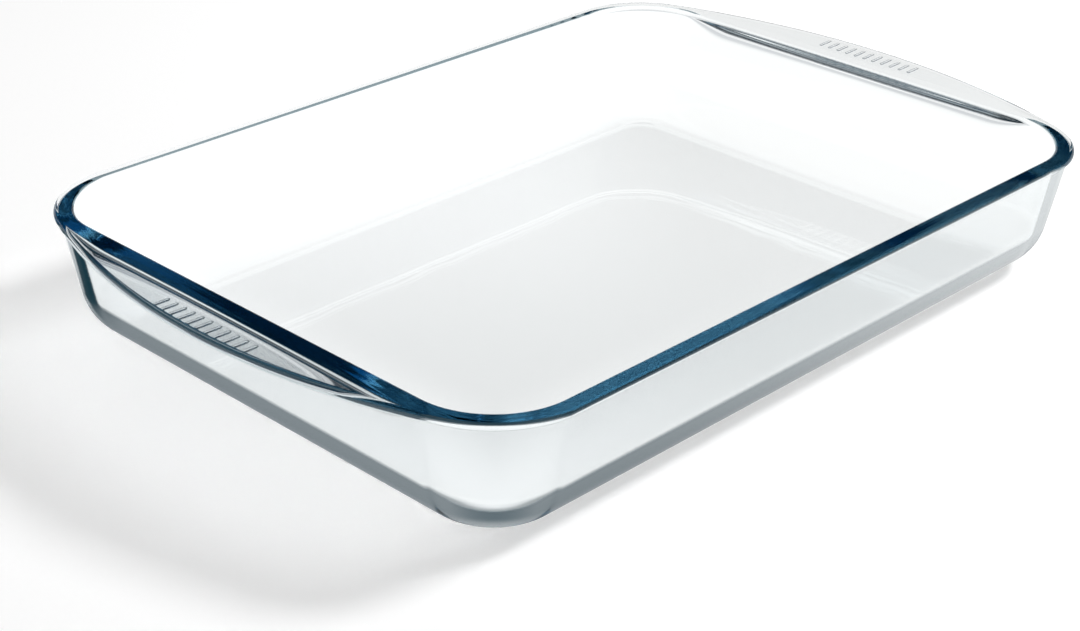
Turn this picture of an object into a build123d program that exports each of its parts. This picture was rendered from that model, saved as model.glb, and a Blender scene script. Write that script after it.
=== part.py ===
from build123d import *
import math
import os

# Clear pressed-glass oven dish, millimetres.
# The origin is the middle of the face that it stands on. +Z is up, X runs along the length,
# and a crescent handle stands out from the rim at each end of X.

# Mouth, measured over the rim without the handles
rim_length = 366.0
rim_width = 269.0
height = 55.0

# Rim lip
lip_width = 7.8
lip_thickness = 3.0
lip_inner_round = 2.0
lip_top_round = 1.3
lip_bottom_round = 1.0
under_lip_flat = 0.1
under_lip_round = 1.0

# Side wall, which thickens from the heel towards the rim
wall_thickness = 5.0
wall_draft = 10.4
heel_radius = 24.0

# Floor and foot
base_thickness = 5.0
foot_recess = 0.8
foot_width = 9.0
floor_corner_radius = 8.0
heel_flat = 1.0

# Handles
handle_reach = 17.0

# Grip ribs under each handle
rib_length = 8.0
rib_width = 1.6
rib_height = 0.6
rib_round = 0.3
rib_pitch = 5.0
rib_count = 11
rib_edge_gap = 3.5

# How far a cutting block runs past what it cuts
overrun = 5.0

# The lip stands out from the wall by its lower round and the hollow under it
lip_bottom = height - lip_thickness
outer_slope = math.tan(math.radians(wall_draft))
outer_run_share = math.tan(math.radians((90 - wall_draft) / 2))
lip_overhang = lip_bottom_round + under_lip_flat + under_lip_round * outer_run_share


def outer_inset(z):
    """How far the wall's outer face stands in from the rim's edge at height z."""
    return lip_overhang + (lip_bottom - z) * outer_slope


# The inner face runs straight from the mouth to wall_thickness inside the outer face at the floor
inner_floor_corner = outer_inset(base_thickness) + wall_thickness
inner_slope = (inner_floor_corner - lip_width) / (height - base_thickness)
inner_draft = math.degrees(math.atan(inner_slope))
inner_run_share = math.tan(math.radians((90 - inner_draft) / 2))
inner_heel_radius = heel_radius - base_thickness
lip_inner_inset = lip_width + lip_thickness * inner_slope

# Where both heels have run out, the wall meets the floor plate
outer_heel_end = outer_inset(0) + heel_radius * outer_run_share
inner_heel_end = inner_floor_corner + inner_heel_radius * inner_run_share
base_inset = max(outer_heel_end, inner_heel_end) + heel_flat
rim_corner_radius = floor_corner_radius + base_inset

# The handle's edge is one arc, tangent inside both corner arcs of the rim
half_length = rim_length / 2
half_width = rim_width / 2
corner_x = half_length - rim_corner_radius
corner_y = half_width - rim_corner_radius
corner_to_tip = half_length + handle_reach - corner_x
handle_radius = (corner_to_tip**2 + corner_y**2 - rim_corner_radius**2) / (
    2 * (corner_to_tip - rim_corner_radius)
)
handle_centre_x = half_length + handle_reach - handle_radius
tangent_share = rim_corner_radius / (handle_radius - rim_corner_radius)
tangent_x = corner_x + (corner_x - handle_centre_x) * tangent_share
tangent_y = corner_y + corner_y * tangent_share

print("rim corner radius", round(rim_corner_radius, 2), "handle arc", round(handle_radius, 2))
print("lip overhang", round(lip_overhang, 2), "inner draft", round(inner_draft, 2))

os.makedirs("parts", exist_ok=True)


def mouth_size(inset):
    """Length, width and corner radius of the plan outline at this inset from the rim's edge."""
    return rim_length - 2 * inset, rim_width - 2 * inset, rim_corner_radius - inset


# Floor plate, thinner than the heel by the recess under it
with BuildPart() as base_panel:
    with BuildSketch(Plane.XY.offset(foot_recess)):
        RectangleRounded(*mouth_size(base_inset))
    extrude(amount=base_thickness - foot_recess)
base_panel.part.label = "base_panel"
export_step(base_panel.part, "parts/base_panel.step")

# Ring that the dish stands on, just inside the heel
with BuildPart() as foot_band:
    with BuildSketch(Plane.XY):
        RectangleRounded(*mouth_size(base_inset))
        foot_length, foot_breadth, foot_corner = mouth_size(base_inset)
        RectangleRounded(
            foot_length - 2 * foot_width,
            foot_breadth - 2 * foot_width,
            foot_corner,
            mode=Mode.SUBTRACT,
        )
    extrude(amount=foot_recess)
foot_band.part.label = "foot_band"
export_step(foot_band.part, "parts/foot_band.step")

# Drafted wall and heel: one section carried round half of the rim's outline, then mirrored
with BuildPart() as side_wall:
    with BuildLine(Plane.XY):
        half_outline = FilletPolyline(
            (0, -half_width),
            (half_length, -half_width),
            (half_length, half_width),
            (0, half_width),
            radius=rim_corner_radius,
        )
    with BuildSketch(Plane(origin=(0, -half_width, 0), x_dir=(0, 1, 0), z_dir=(1, 0, 0))):
        with BuildLine():
            outer = FilletPolyline(
                (lip_bottom_round, lip_bottom),
                (lip_overhang, lip_bottom),
                (outer_inset(0), 0),
                (base_inset, 0),
                radius=(under_lip_round, heel_radius),
            )
            seam = Line(outer @ 1, (base_inset, base_thickness))
            inner = FilletPolyline(
                seam @ 1,
                (inner_floor_corner, base_thickness),
                (lip_inner_inset, lip_bottom),
                radius=inner_heel_radius,
            )
            Line(inner @ 1, outer @ 0)
        make_face()
    sweep(path=half_outline)
    mirror(about=Plane.YZ)
side_wall.part.label = "side_wall"
export_step(side_wall.part, "parts/side_wall.step")

# Lip and both handles pressed as one plate, which is then divided at the ends of the mouth
with BuildPart() as lip_plate:
    with BuildSketch(Plane.XY.offset(lip_bottom)):
        with BuildLine():
            for side in (-1, 1):
                Line((-corner_x, side * half_width), (corner_x, side * half_width))
                for end in (-1, 1):
                    RadiusArc(
                        (end * (half_length + handle_reach), 0),
                        (end * tangent_x, side * tangent_y),
                        -side * end * handle_radius,
                    )
                    RadiusArc(
                        (end * corner_x, side * half_width),
                        (end * tangent_x, side * tangent_y),
                        side * end * rim_corner_radius,
                    )
        make_face()
    extrude(amount=lip_thickness)
    with BuildSketch(Plane.XY.offset(lip_bottom)):
        RectangleRounded(*mouth_size(lip_inner_inset))
    extrude(amount=lip_thickness, taper=-inner_draft, mode=Mode.SUBTRACT)
    top_face = lip_plate.faces().sort_by(Axis.Z)[-1]
    fillet(top_face.inner_wires()[0].edges(), lip_inner_round)
    top_face = lip_plate.faces().filter_by(Plane.XY).sort_by(Axis.Z)[-1]
    fillet(top_face.outer_wire().edges(), lip_top_round)
    bottom_face = lip_plate.faces().filter_by(Plane.XY).sort_by(Axis.Z)[0]
    fillet(bottom_face.outer_wire().edges(), lip_bottom_round)

# A handle runs along the straight part of the end and stops where the corners begin
block_length = handle_reach + overrun
block_x = half_length + block_length / 2

with BuildPart() as end_blocks:
    with BuildSketch(Plane.XY.offset(lip_bottom - overrun)):
        with Locations((block_x, 0), (-block_x, 0)):
            Rectangle(block_length, 2 * corner_y)
    extrude(amount=lip_thickness + 2 * overrun)

with BuildPart() as rim:
    add(lip_plate.part)
    add(end_blocks.part, mode=Mode.SUBTRACT)
rim.part.label = "rim"
export_step(rim.part, "parts/rim.step")

with BuildPart() as handle_left:
    add(lip_plate.part)
    add(end_blocks.part.solids().sort_by(Axis.X)[0], mode=Mode.INTERSECT)
handle_left.part.label = "handle_left"
export_step(handle_left.part, "parts/handle_left.step")

with BuildPart() as handle_right:
    add(lip_plate.part)
    add(end_blocks.part.solids().sort_by(Axis.X)[-1], mode=Mode.INTERSECT)
handle_right.part.label = "handle_right"
export_step(handle_right.part, "parts/handle_right.step")

# Plain ribs for the fingertips, across the underside of each handle
rib_middle_x = half_length + handle_reach - rib_edge_gap - rib_length / 2

with BuildPart() as grip_ribs_left:
    with BuildSketch(Plane.XY.offset(lip_bottom)):
        with Locations((-rib_middle_x, 0)):
            with GridLocations(rib_pitch, rib_pitch, 1, rib_count):
                SlotOverall(rib_length, rib_width)
    extrude(amount=-rib_height)
    fillet(grip_ribs_left.faces().filter_by(Plane.XY).group_by(Axis.Z)[0].edges(), rib_round)
grip_ribs_left.part.label = "grip_ribs_left"
export_step(grip_ribs_left.part, "parts/grip_ribs_left.step")

with BuildPart() as grip_ribs_right:
    add(grip_ribs_left.part)
    mirror(about=Plane.YZ, mode=Mode.REPLACE)
grip_ribs_right.part.label = "grip_ribs_right"
export_step(grip_ribs_right.part, "parts/grip_ribs_right.step")
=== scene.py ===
import math

import bpy
import numpy as np
from mathutils import Matrix, Vector


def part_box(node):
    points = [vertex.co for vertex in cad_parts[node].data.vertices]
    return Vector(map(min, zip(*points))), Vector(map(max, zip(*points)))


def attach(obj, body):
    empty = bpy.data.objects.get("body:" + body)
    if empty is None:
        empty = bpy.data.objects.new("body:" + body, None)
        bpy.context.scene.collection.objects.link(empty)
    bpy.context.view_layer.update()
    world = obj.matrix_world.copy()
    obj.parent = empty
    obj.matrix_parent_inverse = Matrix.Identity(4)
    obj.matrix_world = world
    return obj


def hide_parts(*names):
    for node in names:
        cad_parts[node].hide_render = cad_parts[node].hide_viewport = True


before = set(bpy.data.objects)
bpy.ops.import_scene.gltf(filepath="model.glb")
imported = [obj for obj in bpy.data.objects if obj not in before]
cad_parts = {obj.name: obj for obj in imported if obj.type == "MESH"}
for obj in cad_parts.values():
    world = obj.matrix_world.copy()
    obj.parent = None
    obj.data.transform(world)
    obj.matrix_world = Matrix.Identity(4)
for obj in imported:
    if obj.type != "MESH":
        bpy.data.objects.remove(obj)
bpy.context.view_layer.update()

MM = 0.001

# Where the pressing's regions lie, read from the frame
rim_low, rim_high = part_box("rim")
left_low, left_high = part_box("handle_left")
base_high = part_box("base_panel")[1]
ribs_low, ribs_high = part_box("grip_ribs_right")

half_length = -left_high.x
half_width = rim_high.y
rim_top = rim_high.z
lip_bottom = rim_low.z
handle_tip = -left_low.x
corner_radius = half_width - left_high.y
base_inset = half_length - base_high.x
floor_top = base_high.z
corner_x = half_length - corner_radius
corner_y = half_width - corner_radius

# Section of the wall and lip
lip_width = 7.8 * MM
lip_inner_round = 2.0 * MM
lip_top_round = 1.7 * MM
lip_bottom_round = 0.8 * MM
under_lip_round = 1.0 * MM
lip_overhang = 1.93 * MM
wall_thickness = 5.0 * MM
wall_slope = math.tan(math.radians(10.4))
heel_radius = 24.0 * MM
heel_flat = 1.0 * MM

# Under a handle the glass is thicker towards the wall, and the hollow where they meet is wider
handle_growth = 8.0 * MM
handle_root_drop = 2.4 * MM
handle_edge_drop = 0.9 * MM
handle_under_round = 6.4 * MM
under_round_gain = 0.2
handle_edge_round = 2.0 * MM
handle_top_round = 1.9 * MM

# Steps along the outline, and in the six arcs of the section from the inner heel to the outer one
corner_steps = 28
end_steps = 72
side_steps = 24
arc_steps = (16, 12, 10, 10, 12, 16)

# The normals compare the section with one a nudge further out, and stay finite at sharp corners
reach_nudge = 0.001 * MM
least_stretch = 0.05

# Ribs under a handle
rib_count = 11
rib_pitch = 5.0 * MM
rib_width = 1.6 * MM
rib_gap = 0.02 * MM
rib_segments = 32
rib_rings = 16
rib_end_gain = 8.0

# The glass: its waves, and the blue that shows where light runs far inside
glass_ior = 1.5
wave_scale = 30.0
wave_depth = 0.05 * MM
glass_tint = (0.05, 0.60, 0.80, 1.0)
tint_density = 5.0

# The table as seen through the glass: white; painted light makes it brightest to the left and along
# the foot, and painted shade makes it a little grey towards the near corner and grey far away. Above
# 1 it makes up for what the glass faces take.
table_white = (1.10, 1.10, 1.09)
table_left_painted_light = (1.21, 1.21, 1.205)
left_corner_way = (-0.697, 0.717, 0.0)
left_white_starts = -70.0 * MM
left_white_full = 30.0 * MM
foot_border_painted_light = (1.20, 1.20, 1.19)
near_painted_shade = (0.97, 0.975, 0.97)
far_corner_way = (0.717, 0.697, 0.0)
near_grey_ends = 120.0 * MM
near_grey_depth = 50.0 * MM
far_painted_shade = (0.74, 0.75, 0.765)
far_grey_starts = 330.0 * MM
far_grey_full = 600.0 * MM

# Painted shadow: past the foot's rounded outline the table darkens on the two near sides, most
# beside the left corner
foot_corner_radius = corner_radius - base_inset
dark_starts = 2.0 * MM
dark_full = 14.0 * MM
dark_fades = 70.0 * MM
dark_gone = 130.0 * MM
dark_side_ends = 260.0 * MM
heel_shade = (0.37, 0.40, 0.415)
corner_heel_shade = (0.20, 0.24, 0.26)
corner_shade = (0.015, 0.045, 0.06)

# The floor as seen directly
floor_white = 0.7
floor_glow = 0.44
floor_half = 6.0
floor_drop = 0.2 * MM

# The dark outlines: light meets this shade after reflections inside the glass. The depths are the
# numbers of reflections where the shade starts and is full. Over the floor of the dish and behind
# it, it takes more of them, and the shade is lighter.
edge_darkness = 0.9
edge_shade = (0.006, 0.034, 0.052)
edge_dark_depths = (0.3, 2.0)
inside_edge_shade = (0.34, 0.37, 0.38)
inside_edge_depths = (2.0, 4.5)

# Between no reflection or bounce and the first one
no_depth_yet = 0.5

# The studio round the dish: a white backdrop up to this height, and a dark room above it, which
# starts lower for mirrored light
studio_white = (1.0, 1.0, 1.0)
backdrop_top = math.sin(math.radians(31.0))
room_start = math.sin(math.radians(35.0))
mirrored_top = math.sin(math.radians(8.0))
mirrored_room = math.sin(math.radians(14.0))
room_colour = (0.001, 0.005, 0.010)
fill_strength = 0.33

# Faint lights in the room: azimuth and height, inner and outer angle in degrees, and colour
glimmers = (
    (18.2, 41.0, 8.0, 26.0, (0.008, 0.035, 0.07)),
    (-10.0, 46.0, 8.0, 20.0, (0.10, 0.12, 0.14)),
    (29.2, 60.0, 4.0, 9.0, (0.12, 0.20, 0.25)),
    (114.2, 66.0, 6.0, 12.0, (0.12, 0.19, 0.25)),
    (-59.8, 42.0, 12.0, 28.0, (0.006, 0.11, 0.25)),
    (53.0, 45.0, 6.0, 13.0, (0.28, 0.30, 0.31)),
)

# The soft light, from the right and slightly behind the dish
key_way = Vector((0.642, -0.359, 0.680)).normalized()
key_power = 18.7
key_distance = 1.5
key_half_angle = math.radians(7.0)

# The same light as the glass sees it, once light was reflected this often inside
softbox_glow = 1.8
softbox_edge = math.cos(math.radians(13.0))
softbox_full = math.cos(math.radians(9.0))
trapped_depths = (1.5, 2.5)

# The same light as it reaches the floor through the glass, where it makes the bright patches
floor_light = 19.0
floor_light_edge = math.cos(math.radians(18.0))
floor_light_full = math.cos(math.radians(12.5))

# Camera, as the photograph was taken
view_azimuth = math.radians(-45.778)
view_elevation = math.radians(27.237)
view_roll = math.radians(0.662)
view_distance = 875.3 * MM
aim = Vector((-29.2 * MM, -5.1 * MM, 0.0))
focal_share = 2143.8 / 1080
sensor_width = 36.0

# How often light may pass or be reflected at a glass face
glass_bounces = 64
clear_bounces = 16


def outline_stations():
    """Points round the mouth: corner centre, outward angle, bend, and the handle's reach there."""
    tip = handle_tip - corner_x
    handle_radius = (tip**2 + corner_y**2 - corner_radius**2) / (2 * (tip - corner_radius))
    handle_centre = handle_tip - handle_radius
    # Past this direction the corner has left the handle's arc
    last_sine = corner_y / math.hypot(corner_x - handle_centre, corner_y)

    def reach(cx, cy, angle):
        """How far the handle's edge stands out from the mouth's outline along this direction."""
        if abs(math.sin(angle)) > last_sine:
            return 0.0
        from_centre = abs(cx) - handle_centre
        along = abs(math.cos(angle)) * from_centre + math.sin(angle) * cy
        gap = along**2 - (from_centre**2 + cy**2 - handle_radius**2)
        return max(math.sqrt(gap) - along - corner_radius, 0.0)

    stations = []
    for sx, sy, start in ((1, 1, 0), (-1, 1, 90), (-1, -1, 180), (1, -1, 270)):
        cx, cy = sx * corner_x, sy * corner_y
        for k in range(corner_steps + 1):
            angle = math.radians(start + 90 * k / corner_steps)
            stations.append((cx, cy, angle, 1 / corner_radius, reach(cx, cy, angle)))
        end = math.radians(start + 90)
        long_side = start in (0, 180)
        steps = side_steps if long_side else end_steps
        for k in range(1, steps):
            share = 1 - 2 * k / steps
            mx = cx * share if long_side else cx
            my = cy if long_side else cy * share
            stations.append((mx, my, end, 0.0, reach(mx, my, end)))
    return stations


def rounded_path(corners, radii, steps):
    """Points and outward normals of a section line: straight runs joined by arcs."""
    points = []
    normals = []
    for i in range(1, len(corners) - 1):
        before, here, after = (np.array(corners[j], float) for j in (i - 1, i, i + 1))
        into = (here - before) / np.linalg.norm(here - before)
        out = (after - here) / np.linalg.norm(after - here)
        turn = math.atan2(into[0] * out[1] - into[1] * out[0], float(into @ out))
        radius = radii[i - 1]
        side = math.copysign(1, turn)
        start = here - into * radius * math.tan(abs(turn) / 2)
        centre = start + side * radius * np.array((-into[1], into[0]))
        count = steps[i - 1]
        for k in range(count + 1):
            cosine, sine = math.cos(turn * k / count), math.sin(turn * k / count)
            away = np.array((into[0] * sine + into[1] * cosine, into[1] * sine - into[0] * cosine))
            points.append(centre + side * radius * away)
            normals.append(away)
    return np.array(points), np.array(normals)


def section(reach):
    """The glass section from the floor over the lip and down to the foot, as inset and height."""
    share = min(reach / handle_growth, 1.0)
    grown = share * share * (3 - 2 * share)
    root_bottom = lip_bottom - handle_root_drop * grown
    edge_bottom = lip_bottom - handle_edge_drop * grown
    full_round = handle_under_round + under_round_gain * (handle_tip - half_length - reach)
    under_round = under_lip_round + (full_round - under_lip_round) * grown
    edge_round = lip_bottom_round + (handle_edge_round - lip_bottom_round) * grown
    top_round = lip_top_round + (handle_top_round - lip_top_round) * grown
    outer_at_root = lip_overhang + (lip_bottom - root_bottom) * wall_slope
    outer_at_foot = lip_overhang + lip_bottom * wall_slope
    inner_corner = lip_overhang + (lip_bottom - floor_top) * wall_slope + wall_thickness
    corners = (
        (base_inset, floor_top),
        (inner_corner, floor_top),
        (lip_width, rim_top),
        (-reach, rim_top),
        (-reach, edge_bottom),
        (outer_at_root, root_bottom),
        (outer_at_foot, 0.0),
        (base_inset + heel_flat, 0.0),
    )
    radii = (
        heel_radius - floor_top,
        lip_inner_round,
        top_round,
        edge_round,
        under_round,
        heel_radius,
    )
    return rounded_path(corners, radii, arc_steps)


def pressing_mesh():
    """The dish as one skin: the section carried round the mouth and closed by two flat faces."""
    stations = outline_stations()
    count = len(stations)
    vertices = []
    normals = []
    for i, (cx, cy, angle, bend, reach) in enumerate(stations):
        points, ways = section(reach)
        moved = (section(reach + reach_nudge)[0] - points) / reach_nudge
        last_x, last_y, last_angle, _, last_reach = stations[i - 1]
        next_x, next_y, next_angle, _, next_reach = stations[(i + 1) % count]
        turned = (next_angle - last_angle) % (2 * math.pi)
        run = math.hypot(next_x - last_x, next_y - last_y) + corner_radius * turned
        steepness = (next_reach - last_reach) / run
        outward = np.array((math.cos(angle), math.sin(angle)))
        along = np.array((-outward[1], outward[0]))
        for (inset, height), (away_in, away_up), (move_in, move_up) in zip(points, ways, moved):
            past = max(inset - base_inset, 0.0)
            middle = np.array((cx * (1 - past / corner_x), cy * (1 - past / corner_y)))
            place = middle + outward * (corner_radius - min(inset, base_inset))
            vertices.append((place[0], place[1], height))
            stretch = max(1 - inset * bend, least_stretch)
            tilt = steepness * (away_in * move_in + away_up * move_up)
            level = -outward * away_in * stretch - along * tilt
            normal = np.array((level[0], level[1], away_up * stretch))
            normals.append(normal / np.linalg.norm(normal))
    around = len(section(0.0)[0])
    faces = []
    for i in range(count):
        j = (i + 1) % count
        for k in range(around - 1):
            faces.append((i * around + k, i * around + k + 1, j * around + k + 1, j * around + k))
    faces.append([i * around for i in range(count)])
    faces.append([i * around + around - 1 for i in range(count - 1, -1, -1)])
    mesh = bpy.data.meshes.new("pressed_glass")
    mesh.from_pydata(vertices, [], faces)
    mesh.polygons.foreach_set("use_smooth", [True] * len(mesh.polygons))
    mesh.normals_split_custom_set_from_vertices(normals)
    mesh.validate()
    return mesh


def math_node(tree, operation, first, second=None, third=None):
    """One Math node, its inputs given as sockets or numbers; returns its output."""
    node = tree.nodes.new("ShaderNodeMath")
    node.operation = operation
    for socket, value in zip(node.inputs, (first, second, third)):
        if isinstance(value, bpy.types.NodeSocket):
            tree.links.new(value, socket)
        elif value is not None:
            socket.default_value = value
    return node.outputs[0]


def soft_step(tree, value, start, end):
    """0 before start, 1 past end and a soft change between them; start may be the larger."""
    node = tree.nodes.new("ShaderNodeMapRange")
    node.interpolation_type = "SMOOTHSTEP"
    tree.links.new(value, node.inputs["Value"])
    node.inputs["From Min"].default_value = min(start, end)
    node.inputs["From Max"].default_value = max(start, end)
    node.inputs["To Min"].default_value = 0.0 if start < end else 1.0
    node.inputs["To Max"].default_value = 1.0 if start < end else 0.0
    return node.outputs["Result"]


def mix_colour(tree, share, first, second):
    """Colour between two, which may be sockets or plain colours; returns the output."""
    node = tree.nodes.new("ShaderNodeMix")
    node.data_type = "RGBA"
    tree.links.new(share, node.inputs["Factor"])
    for socket, value in zip((node.inputs[6], node.inputs[7]), (first, second)):
        if isinstance(value, bpy.types.NodeSocket):
            tree.links.new(value, socket)
        else:
            socket.default_value = (*value, 1.0)
    return node.outputs[2]


def direction_cosine(tree, way):
    """Cosine of the angle between a world direction and this one."""
    place = tree.nodes.new("ShaderNodeTexCoord")
    node = tree.nodes.new("ShaderNodeVectorMath")
    node.operation = "DOT_PRODUCT"
    tree.links.new(place.outputs["Generated"], node.inputs[0])
    node.inputs[1].default_value = way
    return node.outputs["Value"]


def distance_along(tree, place, way):
    """How far a place on the floor lies from the middle along this direction."""
    node = tree.nodes.new("ShaderNodeVectorMath")
    node.operation = "DOT_PRODUCT"
    tree.links.new(place.outputs["Object"], node.inputs[0])
    node.inputs[1].default_value = way
    return node.outputs["Value"]


def seen_in_edges(tree, path, colour, depths, shade):
    """The colour, shaded the more the oftener light was reflected inside the glass."""
    inner = soft_step(tree, path.outputs["Glossy Depth"], *depths)
    return mix_colour(tree, math_node(tree, "MULTIPLY", inner, edge_darkness), colour, shade)


def background(tree, colour):
    """One Background node of this colour, for the world."""
    node = tree.nodes.new("ShaderNodeBackground")
    node.inputs["Color"].default_value = (*colour, 1.0)
    return node


def add_shaders(tree, first, second):
    """Both shaders together."""
    node = tree.nodes.new("ShaderNodeAddShader")
    tree.links.new(first.outputs[0], node.inputs[0])
    tree.links.new(second.outputs[0], node.inputs[1])
    return node


def mix_shaders(tree, share, first, second):
    """The first shader where share is 0, the second where it is 1."""
    node = tree.nodes.new("ShaderNodeMixShader")
    tree.links.new(share, node.inputs["Fac"])
    tree.links.new(first.outputs[0], node.inputs[1])
    tree.links.new(second.outputs[0], node.inputs[2])
    return node


def glass_material():
    """Clear pressed glass: faintly wavy faces, and a blue where light runs far inside."""
    material = bpy.data.materials.new("clear_glass")
    material.use_nodes = True
    tree = material.node_tree
    shader = tree.nodes["Principled BSDF"]
    shader.inputs["Base Color"].default_value = (1.0, 1.0, 1.0, 1.0)
    shader.inputs["Transmission Weight"].default_value = 1.0
    shader.inputs["Roughness"].default_value = 0.0
    shader.inputs["IOR"].default_value = glass_ior
    place = tree.nodes.new("ShaderNodeTexCoord")
    waves = tree.nodes.new("ShaderNodeTexNoise")
    waves.inputs["Scale"].default_value = wave_scale
    waves.inputs["Detail"].default_value = 1.0
    tree.links.new(place.outputs["Object"], waves.inputs["Vector"])
    ripple = tree.nodes.new("ShaderNodeBump")
    ripple.inputs["Strength"].default_value = 1.0
    ripple.inputs["Distance"].default_value = wave_depth
    tree.links.new(waves.outputs["Fac"], ripple.inputs["Height"])
    tree.links.new(ripple.outputs["Normal"], shader.inputs["Normal"])
    absorption = tree.nodes.new("ShaderNodeVolumeAbsorption")
    absorption.inputs["Color"].default_value = glass_tint
    absorption.inputs["Density"].default_value = tint_density
    tree.links.new(absorption.outputs["Volume"], tree.nodes["Material Output"].inputs["Volume"])
    return material


def rib_row_tree(material):
    """Geometry Nodes: a row of ribs with round ends, flat on top and domed below, along Y."""
    tree = bpy.data.node_groups.new("rib_row", "GeometryNodeTree")
    sockets = {}
    for name, kind in (
        ("Length", "NodeSocketFloat"),
        ("Width", "NodeSocketFloat"),
        ("Height", "NodeSocketFloat"),
        ("Pitch", "NodeSocketFloat"),
        ("Tilt", "NodeSocketFloat"),
        ("Count", "NodeSocketInt"),
        ("Middle", "NodeSocketVector"),
    ):
        socket = tree.interface.new_socket(name=name, in_out="INPUT", socket_type=kind)
        sockets[name] = socket.identifier
    tree.interface.new_socket(name="Geometry", in_out="OUTPUT", socket_type="NodeSocketGeometry")
    sizes = tree.nodes.new("NodeGroupInput").outputs
    nodes, links = tree.nodes, tree.links

    ball = nodes.new("GeometryNodeMeshUVSphere")
    ball.inputs["Segments"].default_value = rib_segments
    ball.inputs["Rings"].default_value = rib_rings
    ball.inputs["Radius"].default_value = 1.0
    place = nodes.new("GeometryNodeInputPosition")
    split = nodes.new("ShaderNodeSeparateXYZ")
    links.new(place.outputs[0], split.inputs[0])

    # The ball is drawn out along X into a bar, and everything above its middle is pressed flat
    half_width_of_rib = math_node(tree, "MULTIPLY", sizes["Width"], 0.5)
    between_ends = math_node(tree, "SUBTRACT", sizes["Length"], sizes["Width"])
    straight = math_node(tree, "MULTIPLY", between_ends, 0.5)
    towards_end = math_node(tree, "MULTIPLY", split.outputs["X"], rib_end_gain)
    end_side = math_node(tree, "MAXIMUM", math_node(tree, "MINIMUM", towards_end, 1.0), -1.0)
    across_bar = math_node(tree, "MULTIPLY", split.outputs["X"], half_width_of_rib)
    bar_x = math_node(tree, "MULTIPLY_ADD", end_side, straight, across_bar)
    bar_y = math_node(tree, "MULTIPLY", split.outputs["Y"], half_width_of_rib)
    lower_half = math_node(tree, "MINIMUM", split.outputs["Z"], 0.0)
    dome = math_node(tree, "MULTIPLY", lower_half, sizes["Height"])
    bar_z = math_node(tree, "MULTIPLY_ADD", bar_x, sizes["Tilt"], dome)
    joined = nodes.new("ShaderNodeCombineXYZ")
    for value, socket in zip((bar_x, bar_y, bar_z), joined.inputs):
        links.new(value, socket)
    rib = nodes.new("GeometryNodeSetPosition")
    links.new(ball.outputs["Mesh"], rib.inputs["Geometry"])
    links.new(joined.outputs[0], rib.inputs["Position"])

    # The row, centred on its middle
    spaces = math_node(tree, "SUBTRACT", sizes["Count"], 1.0)
    row_length = math_node(tree, "MULTIPLY", spaces, sizes["Pitch"])
    first_y = math_node(tree, "MULTIPLY", row_length, -0.5)
    start_offset = nodes.new("ShaderNodeCombineXYZ")
    links.new(first_y, start_offset.inputs["Y"])
    start = nodes.new("ShaderNodeVectorMath")
    start.operation = "ADD"
    links.new(sizes["Middle"], start.inputs[0])
    links.new(start_offset.outputs[0], start.inputs[1])
    step = nodes.new("ShaderNodeCombineXYZ")
    links.new(sizes["Pitch"], step.inputs["Y"])
    row = nodes.new("GeometryNodeMeshLine")
    links.new(sizes["Count"], row.inputs["Count"])
    links.new(start.outputs[0], row.inputs["Start Location"])
    links.new(step.outputs[0], row.inputs["Offset"])
    ribs = nodes.new("GeometryNodeInstanceOnPoints")
    links.new(row.outputs["Mesh"], ribs.inputs["Points"])
    links.new(rib.outputs["Geometry"], ribs.inputs["Instance"])
    real = nodes.new("GeometryNodeRealizeInstances")
    links.new(ribs.outputs["Instances"], real.inputs["Geometry"])
    smooth = nodes.new("GeometryNodeSetShadeSmooth")
    links.new(real.outputs["Geometry"], smooth.inputs["Geometry"])
    coat = nodes.new("GeometryNodeSetMaterial")
    coat.inputs["Material"].default_value = material
    links.new(smooth.outputs["Geometry"], coat.inputs["Geometry"])
    output = nodes.new("NodeGroupOutput")
    links.new(coat.outputs["Geometry"], output.inputs["Geometry"])
    return tree, sockets


def rib_row(name, end, tree, sockets):
    """The ribs under one handle, as a plain mesh just below its sloping underside."""
    root_x = half_length - lip_overhang - handle_root_drop * wall_slope
    root_z = lip_bottom - handle_root_drop
    slope = (handle_root_drop - handle_edge_drop) / (handle_tip - root_x)
    middle_x = (ribs_low.x + ribs_high.x) / 2
    middle_z = root_z + slope * (middle_x - root_x) - rib_gap
    values = {
        "Length": ribs_high.x - ribs_low.x,
        "Width": rib_width,
        "Height": ribs_high.z - ribs_low.z,
        "Pitch": rib_pitch,
        "Tilt": end * slope,
        "Count": rib_count,
        "Middle": (end * middle_x, 0.0, middle_z),
    }
    piece = bpy.data.objects.new(name, bpy.data.meshes.new(name + "_start"))
    bpy.context.scene.collection.objects.link(piece)
    modifier = piece.modifiers.new("ribs", "NODES")
    modifier.node_group = tree
    for value_name, value in values.items():
        modifier[sockets[value_name]] = value
    ready = piece.evaluated_get(bpy.context.evaluated_depsgraph_get())
    mesh = bpy.data.meshes.new_from_object(ready)
    mesh.name = name
    piece.modifiers.remove(modifier)
    piece.data = mesh
    return piece


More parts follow.
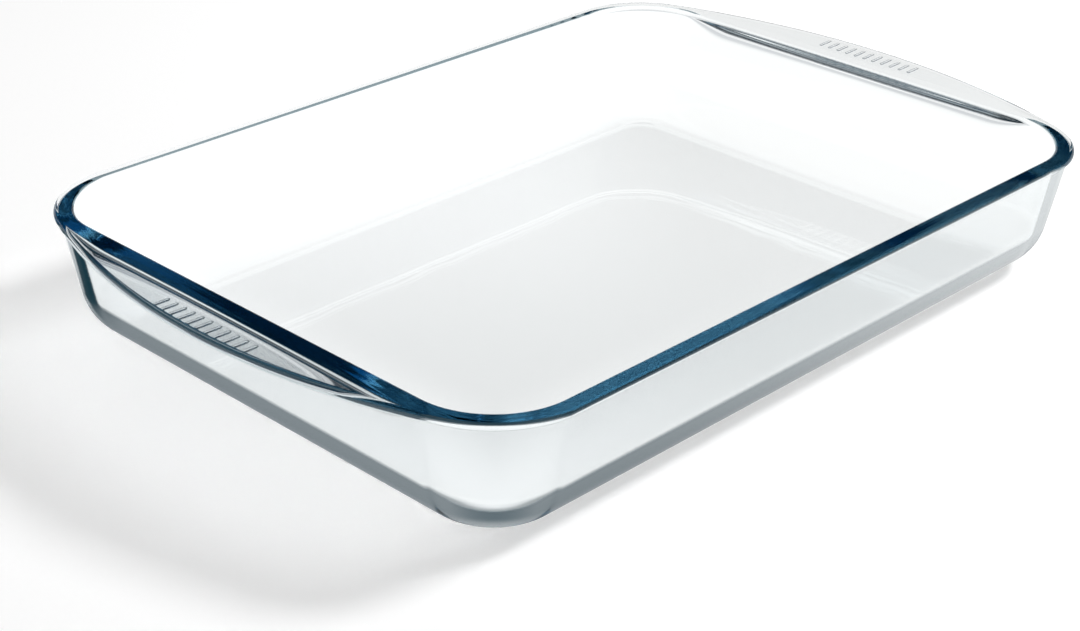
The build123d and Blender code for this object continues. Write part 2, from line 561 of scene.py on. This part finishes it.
def table_seen_through_glass(tree, path):
    """The table's colour for light that comes through the glass, with painted light, painted shade
    and a painted shadow on it, as an Emission shader.
    """
    place = tree.nodes.new("ShaderNodeTexCoord")
    split = tree.nodes.new("ShaderNodeSeparateXYZ")
    tree.links.new(place.outputs["Object"], split.inputs[0])
    x, y = split.outputs["X"], split.outputs["Y"]

    # How far a place lies past the foot on the two near sides
    past_x = math_node(tree, "MAXIMUM", math_node(tree, "SUBTRACT", -corner_x, x), 0.0)
    past_y = math_node(tree, "MAXIMUM", math_node(tree, "SUBTRACT", -corner_y, y), 0.0)
    square_y = math_node(tree, "MULTIPLY", past_y, past_y)
    squares = math_node(tree, "MULTIPLY_ADD", past_x, past_x, square_y)
    past_foot = math_node(tree, "SUBTRACT", math_node(tree, "SQRT", squares), foot_corner_radius)

    # How dark the painted shadow is there: less towards the right end, more at the near corner and
    # the left corner
    rising = soft_step(tree, past_foot, dark_starts, dark_full)
    falling = soft_step(tree, past_foot, dark_gone, dark_fades)
    along = soft_step(tree, x, dark_side_ends, -corner_x)
    dark = math_node(tree, "MULTIPLY", math_node(tree, "MULTIPLY", rising, falling), along)
    diagonal = math_node(tree, "DIVIDE", math_node(tree, "MULTIPLY", past_x, past_y), squares)
    at_corner = math_node(tree, "MULTIPLY", diagonal, 2.0)
    shade = mix_colour(tree, at_corner, heel_shade, corner_heel_shade)
    beside = soft_step(tree, y, corner_y, half_width)
    shade = mix_colour(tree, beside, shade, corner_shade)

    # How much painted shade greys it towards the near corner and far away, and how much painted
    # light brightens it to the left and along the foot
    inside_x = math_node(tree, "ADD", x, corner_x)
    inside_y = math_node(tree, "ADD", y, corner_y)
    inside = soft_step(tree, math_node(tree, "MINIMUM", inside_x, inside_y), 0.0, near_grey_depth)
    away = distance_along(tree, place, far_corner_way)
    near = soft_step(tree, away, near_grey_ends, -near_grey_ends)
    near_inside = math_node(tree, "MULTIPLY", inside, near)
    leftwards = distance_along(tree, place, left_corner_way)
    left = soft_step(tree, leftwards, left_white_starts, left_white_full)
    distance = tree.nodes.new("ShaderNodeVectorMath")
    distance.operation = "LENGTH"
    tree.links.new(place.outputs["Object"], distance.inputs[0])
    far = soft_step(tree, distance.outputs["Value"], far_grey_starts, far_grey_full)
    along_foot = soft_step(tree, past_foot, -foot_corner_radius, 0.0)
    colour = mix_colour(tree, left, table_white, table_left_painted_light)
    colour = mix_colour(tree, near_inside, colour, near_painted_shade)
    colour = mix_colour(tree, along_foot, colour, foot_border_painted_light)
    colour = mix_colour(tree, far, colour, far_painted_shade)
    colour = mix_colour(tree, dark, colour, shade)

    # Inside and behind the dish light has to be reflected more often before it is dark
    outside_seen = seen_in_edges(tree, path, colour, edge_dark_depths, edge_shade)
    inside_seen = seen_in_edges(tree, path, colour, inside_edge_depths, inside_edge_shade)
    table = tree.nodes.new("ShaderNodeEmission")
    seen = mix_colour(tree, inside, outside_seen, inside_seen)
    tree.links.new(seen, table.inputs["Color"])
    return table


def floor_material():
    """A floor that is plain white as seen directly and, through the glass, shows the table with
    painted light and painted shade.
    """
    material = bpy.data.materials.new("white_floor")
    material.use_nodes = True
    tree = material.node_tree
    nodes, links = tree.nodes, tree.links
    nodes.clear()
    path = nodes.new("ShaderNodeLightPath")
    table = table_seen_through_glass(tree, path)

    # Seen directly it is lit like any white floor
    white = nodes.new("ShaderNodeBsdfDiffuse")
    white.inputs["Color"].default_value = (floor_white, floor_white, floor_white, 1.0)
    glow = nodes.new("ShaderNodeEmission")
    glow_level = math_node(tree, "MULTIPLY", path.outputs["Is Camera Ray"], floor_glow)
    links.new(glow_level, glow.inputs["Strength"])
    lit = add_shaders(tree, white, glow)

    # Through the glass, and mirrored in it, the table shows until light has met a matt face
    transmitted, mirrored = path.outputs["Is Transmission Ray"], path.outputs["Is Glossy Ray"]
    through = math_node(tree, "MAXIMUM", transmitted, mirrored)
    before_diffuse = math_node(tree, "LESS_THAN", path.outputs["Diffuse Depth"], no_depth_yet)
    table_share = math_node(tree, "MULTIPLY", through, before_diffuse)
    output = nodes.new("ShaderNodeOutputMaterial")
    links.new(mix_shaders(tree, table_share, lit, table).outputs[0], output.inputs["Surface"])
    return material


def studio_world():
    """White as seen directly. Through glass: a backdrop, a dark room, a softbox and faint lights."""
    world = bpy.data.worlds.new("studio")
    bpy.context.scene.world = world
    world.use_nodes = True
    tree = world.node_tree
    nodes, links = tree.nodes, tree.links
    nodes.clear()
    path = nodes.new("ShaderNodeLightPath")
    place = nodes.new("ShaderNodeTexCoord")
    split = nodes.new("ShaderNodeSeparateXYZ")
    links.new(place.outputs["Generated"], split.inputs[0])

    # The backdrop and the room above it
    behind_glass = soft_step(tree, split.outputs["Z"], backdrop_top, room_start)
    mirrored = soft_step(tree, split.outputs["Z"], mirrored_top, mirrored_room)
    gloss = math_node(tree, "MULTIPLY", path.outputs["Is Glossy Ray"], mirrored)
    in_room = math_node(tree, "MAXIMUM", behind_glass, gloss)
    studio = nodes.new("ShaderNodeBackground")
    studio_colour = mix_colour(tree, in_room, studio_white, room_colour)
    edge_colour = seen_in_edges(tree, path, studio_colour, edge_dark_depths, edge_shade)
    links.new(edge_colour, studio.inputs["Color"])

    # The softbox, only for light that was trapped in the glass for a while
    through_glass = path.outputs["Is Transmission Ray"]
    towards_key = direction_cosine(tree, key_way)
    softbox = soft_step(tree, towards_key, softbox_edge, softbox_full)
    trapped = soft_step(tree, path.outputs["Glossy Depth"], *trapped_depths)
    trapped_through = math_node(tree, "MULTIPLY", trapped, through_glass)
    softbox_share = math_node(tree, "MULTIPLY", softbox, trapped_through)
    box_seen = nodes.new("ShaderNodeBackground")
    links.new(math_node(tree, "MULTIPLY", softbox_share, softbox_glow), box_seen.inputs["Strength"])
    studio_all = add_shaders(tree, studio, box_seen)

    # The faint lights, seen through the glass
    for turn, rise, inner_angle, outer_angle, colour in glimmers:
        turn, rise = math.radians(turn), math.radians(rise)
        way = (math.cos(rise) * math.cos(turn), math.cos(rise) * math.sin(turn), math.sin(rise))
        inner_cosine = math.cos(math.radians(inner_angle))
        outer_cosine = math.cos(math.radians(outer_angle))
        glimmer = background(tree, colour)
        level = soft_step(tree, direction_cosine(tree, way), outer_cosine, inner_cosine)
        links.new(math_node(tree, "MULTIPLY", level, through_glass), glimmer.inputs["Strength"])
        studio_all = add_shaders(tree, studio_all, glimmer)

    # Light that falls on the floor, where the soft light also comes through the glass
    fill = background(tree, studio_white)
    key_seen = soft_step(tree, towards_key, floor_light_edge, floor_light_full)
    key_through = math_node(tree, "MULTIPLY", key_seen, through_glass)
    fill_level = math_node(tree, "MULTIPLY_ADD", key_through, floor_light, fill_strength)
    links.new(fill_level, fill.inputs["Strength"])
    after_diffuse = math_node(tree, "GREATER_THAN", path.outputs["Diffuse Depth"], no_depth_yet)
    lit = mix_shaders(tree, after_diffuse, studio_all, fill)

    white = background(tree, studio_white)
    seen = mix_shaders(tree, path.outputs["Is Camera Ray"], lit, white)
    output = nodes.new("ShaderNodeOutputWorld")
    links.new(seen.outputs[0], output.inputs["Surface"])


# The pressing
glass = glass_material()
dish = bpy.data.objects.new("pressed_glass", pressing_mesh())
dish.data.materials.append(glass)
bpy.context.scene.collection.objects.link(dish)
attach(dish, "root")
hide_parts("base_panel", "foot_band", "side_wall", "rim", "handle_left", "handle_right")

# The ribs under both handles
rib_tree, rib_sockets = rib_row_tree(glass)
for rib_name, rib_end in (("grip_ribs_left", -1), ("grip_ribs_right", 1)):
    ribs = rib_row("pressed_" + rib_name, rib_end, rib_tree, rib_sockets)
    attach(ribs, "root")
    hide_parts(rib_name)

# The floor
floor_mesh = bpy.data.meshes.new("floor")
floor_corners = ((-1, -1), (1, -1), (1, 1), (-1, 1))
floor_points = [(x * floor_half, y * floor_half, 0) for x, y in floor_corners]
floor_mesh.from_pydata(floor_points, [], [(0, 1, 2, 3)])
floor_mesh.materials.append(floor_material())
floor = bpy.data.objects.new("floor", floor_mesh)
floor.location.z = -floor_drop
bpy.context.scene.collection.objects.link(floor)

# The studio
studio_world()

# The soft light on the floor; through the glass the world's softbox stands for it
key_data = bpy.data.lights.new("key_light", "AREA")
key_data.shape = "DISK"
key_data.size = 2 * key_distance * math.tan(key_half_angle)
key_data.energy = key_power
key_light = bpy.data.objects.new("key_light", key_data)
key_light.location = key_way * key_distance
key_light.rotation_euler = key_way.to_track_quat("Z", "Y").to_euler()
key_light.visible_glossy = False
key_light.visible_transmission = False
bpy.context.scene.collection.objects.link(key_light)

# The camera
level_back = Vector((math.sin(view_azimuth), -math.cos(view_azimuth), 0.0))
back = level_back * math.cos(view_elevation) + Vector((0, 0, 1)) * math.sin(view_elevation)
level_right = (-back).cross(Vector((0, 0, 1))).normalized()
level_up = level_right.cross(-back)
camera_right = level_right * math.cos(view_roll) + level_up * math.sin(view_roll)
camera_up = -level_right * math.sin(view_roll) + level_up * math.cos(view_roll)
camera_data = bpy.data.cameras.new("camera")
camera_data.sensor_width = sensor_width
camera_data.lens = focal_share * sensor_width
camera = bpy.data.objects.new("camera", camera_data)
turned = Matrix((camera_right, camera_up, back)).transposed().to_4x4()
camera.matrix_world = Matrix.Translation(aim + back * view_distance) @ turned
bpy.context.scene.collection.objects.link(camera)
bpy.context.scene.camera = camera

# Colours as they are written, and light that may run far inside the glass
scene = bpy.context.scene
scene.view_settings.view_transform = "Standard"
scene.cycles.max_bounces = glass_bounces
scene.cycles.transmission_bounces = glass_bounces
scene.cycles.glossy_bounces = glass_bounces
scene.cycles.transparent_max_bounces = clear_bounces
